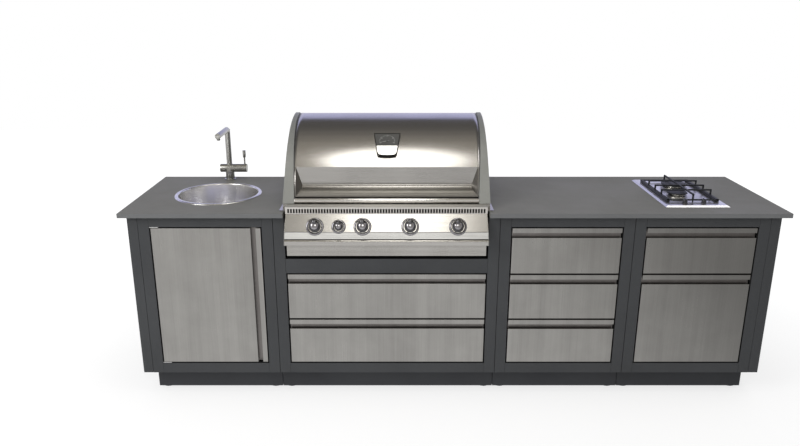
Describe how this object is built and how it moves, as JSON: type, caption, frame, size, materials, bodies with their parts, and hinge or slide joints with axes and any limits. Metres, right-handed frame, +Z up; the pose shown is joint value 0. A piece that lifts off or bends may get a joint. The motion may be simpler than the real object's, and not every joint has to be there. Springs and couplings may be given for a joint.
{
  "type": "outdoor kitchen island",
  "caption": "Row of cabinets under one worktop with a round sink and faucet, a built-in gas grill with a curved lid, drawers and a gas hob.",
  "frame": {"origin": "on the floor, in the middle of the length and depth", "axes": "+X along the row from the sink to the hob, +Y from front to back, +Z up"},
  "size_m": [2.96, 0.7282, 1.252],
  "materials": {
    "anthracite_board": "matte",
    "plinth_board": "matte",
    "worktop_slab": "matte",
    "brushed_front": "satin",
    "drawer_box": "satin",
    "grill_sheet": "satin",
    "cast_cap": "matte",
    "polished_steel": "polished",
    "chrome_knob": "polished",
    "satin_steel": "satin",
    "black_iron": "matte",
    "black_knob": "satin",
    "waste_plastic": "satin"
  },
  "bodies": {
    "island": {"sink_cabinet_carcass": "anthracite_board", "sink_cabinet_frame": "anthracite_board", "sink_cabinet_plinth": "plinth_board", "grill_cabinet_carcass": "anthracite_board", "grill_cabinet_frame": "anthracite_board", "grill_cabinet_plinth": "plinth_board", "drawer_cabinet_carcass": "anthracite_board", "drawer_cabinet_frame": "anthracite_board", "drawer_cabinet_plinth": "plinth_board", "hob_cabinet_carcass": "anthracite_board", "hob_cabinet_frame": "anthracite_board", "hob_cabinet_plinth": "plinth_board", "end_panel_left": "anthracite_board", "end_panel_right": "anthracite_board", "worktop": "worktop_slab", "door_pivot_lower": "polished_steel", "door_pivot_upper": "polished_steel", "grill_body": "grill_sheet", "grill_vent_trim": "grill_sheet", "grill_control_panel": "grill_sheet", "grill_burners": "polished_steel", "hob_plate": "polished_steel", "grill_cooking_grate": "black_iron", "hob_pan_support": "black_iron", "hob_burner_rear": "black_iron", "hob_burner_front": "polished_steel", "sink_bowl": "satin_steel", "faucet_body": "satin_steel", "sink_waste": "waste_plastic"},
    "grill_lid": {"lid_shell": "grill_sheet", "lid_cap_left": "cast_cap", "lid_cap_right": "cast_cap", "lid_handle_rail": "polished_steel", "lid_thermometer": "polished_steel"},
    "grill_knob_1_body": {"grill_knob_1": "chrome_knob"},
    "grill_knob_small_body": {"grill_knob_small": "chrome_knob"},
    "grill_knob_2_body": {"grill_knob_2": "chrome_knob"},
    "grill_knob_3_body": {"grill_knob_3": "chrome_knob"},
    "grill_knob_4_body": {"grill_knob_4": "chrome_knob"},
    "sink_door": {"cupboard_door": "brushed_front"},
    "grill_drawer_upper": {"grill_drawer_upper_front": "brushed_front", "grill_drawer_upper_box": "drawer_box"},
    "grill_drawer_lower": {"grill_drawer_lower_front": "brushed_front", "grill_drawer_lower_box": "drawer_box"},
    "side_drawer_upper": {"side_drawer_upper_front": "brushed_front", "side_drawer_upper_box": "drawer_box"},
    "side_drawer_middle": {"side_drawer_middle_front": "brushed_front", "side_drawer_middle_box": "drawer_box"},
    "side_drawer_lower": {"side_drawer_lower_front": "brushed_front", "side_drawer_lower_box": "drawer_box"},
    "hob_drawer": {"hob_drawer_front": "brushed_front", "hob_drawer_box": "drawer_box"},
    "hob_pull_out": {"hob_pull_out_front": "brushed_front", "hob_pull_out_box": "drawer_box"},
    "drip_tray": {"grill_drip_tray": "grill_sheet"},
    "spout": {"faucet_spout": "satin_steel"},
    "handle_cap": {"faucet_handle_cap": "satin_steel"},
    "lever": {"faucet_lever": "satin_steel"},
    "hob_knob_left_body": {"hob_knob_left": "black_knob"},
    "hob_knob_right_body": {"hob_knob_right": "black_knob"}
  },
  "joints": [
    {"name": "lid_hinge", "type": "hinge", "parent": "island", "child": "grill_lid", "pos_m": [-0.3, 0.20909, 1.09], "axis": [-1, 0, 0], "range_deg": [0, 80]},
    {"name": "grill_knob_1_turn", "type": "hinge", "parent": "island", "child": "grill_knob_1_body", "pos_m": [-0.615, -0.33169, 0.842], "axis": [0, -0.9063, 0.4226], "range_deg": [0, 135]},
    {"name": "grill_knob_small_turn", "type": "hinge", "parent": "island", "child": "grill_knob_small_body", "pos_m": [-0.51, -0.33169, 0.842], "axis": [0, -0.9063, 0.4226], "range_deg": [0, 135]},
    {"name": "grill_knob_2_turn", "type": "hinge", "parent": "island", "child": "grill_knob_2_body", "pos_m": [-0.405, -0.33169, 0.842], "axis": [0, -0.9063, 0.4226], "range_deg": [0, 135]},
    {"name": "grill_knob_3_turn", "type": "hinge", "parent": "island", "child": "grill_knob_3_body", "pos_m": [-0.195, -0.33169, 0.842], "axis": [0, -0.9063, 0.4226], "range_deg": [0, 135]},
    {"name": "grill_knob_4_turn", "type": "hinge", "parent": "island", "child": "grill_knob_4_body", "pos_m": [0.015, -0.33169, 0.842], "axis": [0, -0.9063, 0.4226], "range_deg": [0, 135]},
    {"name": "door_hinge", "type": "hinge", "parent": "island", "child": "sink_door", "pos_m": [-1.342, -0.29791, 0.495], "axis": [0, 0, -1], "range_deg": [0, 105]},
    {"name": "grill_drawer_upper_slide", "type": "slide", "parent": "island", "child": "grill_drawer_upper", "axis": [0, -1, 0], "range_m": [0, 0.45]},
    {"name": "grill_drawer_lower_slide", "type": "slide", "parent": "island", "child": "grill_drawer_lower", "axis": [0, -1, 0], "range_m": [0, 0.45]},
    {"name": "side_drawer_upper_slide", "type": "slide", "parent": "island", "child": "side_drawer_upper", "axis": [0, -1, 0], "range_m": [0, 0.45]},
    {"name": "side_drawer_middle_slide", "type": "slide", "parent": "island", "child": "side_drawer_middle", "axis": [0, -1, 0], "range_m": [0, 0.45]},
    {"name": "side_drawer_lower_slide", "type": "slide", "parent": "island", "child": "side_drawer_lower", "axis": [0, -1, 0], "range_m": [0, 0.45]},
    {"name": "hob_drawer_slide", "type": "slide", "parent": "island", "child": "hob_drawer", "axis": [0, -1, 0], "range_m": [0, 0.45]},
    {"name": "hob_pull_out_slide", "type": "slide", "parent": "island", "child": "hob_pull_out", "axis": [0, -1, 0], "range_m": [0, 0.45]},
    {"name": "drip_tray_slide", "type": "slide", "parent": "island", "child": "drip_tray", "axis": [0, -1, 0], "range_m": [0, 0.35]},
    {"name": "spout_swivel", "type": "hinge", "parent": "island", "child": "spout", "pos_m": [-1.125, 0.31209, 0.9853], "axis": [0, 0, 1], "range_deg": [-70, 70]},
    {"name": "handle_turn", "type": "hinge", "parent": "island", "child": "handle_cap", "pos_m": [-1.052, 0.31209, 0.959], "axis": [1, 0, 0], "range_deg": [-45, 45]},
    {"name": "lever_tilt", "type": "hinge", "parent": "handle_cap", "child": "lever", "pos_m": [-1.0457, 0.31209, 0.972], "axis": [0, 1, 0], "range_deg": [0, 20]},
    {"name": "hob_knob_left_turn", "type": "hinge", "parent": "island", "child": "hob_knob_left_body", "pos_m": [1.062, -0.18191, 0.9063], "axis": [0, 0, -1], "range_deg": [0, 135]},
    {"name": "hob_knob_right_turn", "type": "hinge", "parent": "island", "child": "hob_knob_right_body", "pos_m": [1.148, -0.18191, 0.9063], "axis": [0, 0, -1], "range_deg": [0, 135]}
  ]
}
